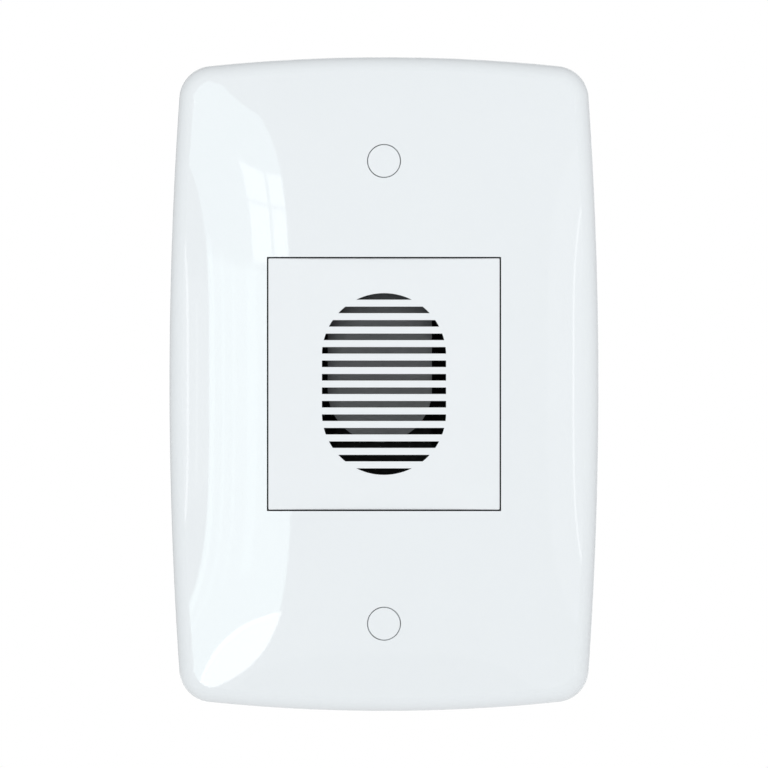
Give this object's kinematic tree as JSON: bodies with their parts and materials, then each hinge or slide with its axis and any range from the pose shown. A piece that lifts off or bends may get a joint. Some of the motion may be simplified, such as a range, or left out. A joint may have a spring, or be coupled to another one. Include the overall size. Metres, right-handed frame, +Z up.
{
  "type": "doorbell chime box",
  "caption": "White flush wall plate with a slotted square sounder insert, round screw caps, and a buzzer with wire terminals in a case behind it.",
  "frame": {"origin": "on the wall face, midway between the two fixing screws", "axes": "+X to the right as seen from the room, +Y into the wall, +Z up; the front faces -Y"},
  "size_m": [0.0774, 0.0297, 0.1178],
  "materials": {
    "plate_white": "glossy moulded",
    "insert_white": "satin moulded",
    "frame_grey": "matt moulded",
    "case_black": "matt moulded",
    "screw_zinc": "zinc plated",
    "screw_black": "black oxide",
    "blade_steel": "rolled and blackened",
    "yoke_steel": "black passivated",
    "core_iron": "turned",
    "bobbin_plastic": "matt moulded",
    "winding_copper": "enamelled wire",
    "tape_yellow": "polyester tape",
    "terminal_brass": "stamped",
    "pad_rubber": "moulded rubber",
    "lead_red": "insulated wire"
  },
  "bodies": {
    "root": {"cover_plate": "plate_white", "support_frame": "frame_grey", "grille_front": "insert_white", "mounting_screws": "screw_zinc", "sounder_case": "case_black", "case_screws": "screw_zinc", "yoke": "yoke_steel", "yoke_screws": "screw_black", "isolating_pads": "pad_rubber", "core": "core_iron", "bobbin": "bobbin_plastic", "coil_winding": "winding_copper", "coil_tape": "tape_yellow", "blade_clamp": "yoke_steel", "clamp_screws": "screw_zinc", "terminal_block": "case_black", "terminal_left": "terminal_brass", "terminal_right": "terminal_brass", "lead_left": "lead_red", "lead_right": "lead_red"},
    "upper_cap": {"cap_upper": "plate_white"},
    "lower_cap": {"cap_lower": "plate_white"},
    "blade": {"vibrating_blade": "blade_steel", "armature_disc": "core_iron"},
    "left_clamp": {"clamp_plate_left": "screw_zinc"},
    "left_screw": {"terminal_screw_left": "screw_zinc"},
    "right_clamp": {"clamp_plate_right": "screw_zinc"},
    "right_screw": {"terminal_screw_right": "screw_zinc"}
  },
  "joints": [
    {"name": "upper_cap_pull", "type": "slide", "parent": "root", "child": "upper_cap", "axis": [0, -1, 0], "range_m": [0, 0.012]},
    {"name": "lower_cap_pull", "type": "slide", "parent": "root", "child": "lower_cap", "axis": [0, -1, 0], "range_m": [0, 0.012]},
    {"name": "blade_swing", "type": "hinge", "parent": "root", "child": "blade", "pos_m": [-0.00076, -0.00248, 0.02015], "axis": [1, 0, 0], "range_deg": [-1.6, 1.6], "stiffness_Nm_per_rad": 0.05},
    {"name": "left_clamp_slide", "type": "slide", "parent": "root", "child": "left_clamp", "axis": [0, 1, 0], "range_m": [0, 0.0022]},
    {"name": "left_screw_turn", "type": "hinge", "parent": "left_clamp", "child": "left_screw", "pos_m": [-0.00675, 0.0147, -0.0149], "axis": [0, 1, 0], "range_deg": [0, 1584]},
    {"name": "right_clamp_slide", "type": "slide", "parent": "root", "child": "right_clamp", "axis": [0, 1, 0], "range_m": [0, 0.0022]},
    {"name": "right_screw_turn", "type": "hinge", "parent": "right_clamp", "child": "right_screw", "pos_m": [0.00675, 0.0147, -0.0149], "axis": [0, 1, 0], "range_deg": [0, 1584]}
  ],
  "couplings": [
    {"joint": "left_screw_turn", "follows": "left_clamp_slide", "rad_per_m": 12566},
    {"joint": "right_screw_turn", "follows": "right_clamp_slide", "rad_per_m": 12566}
  ]
}
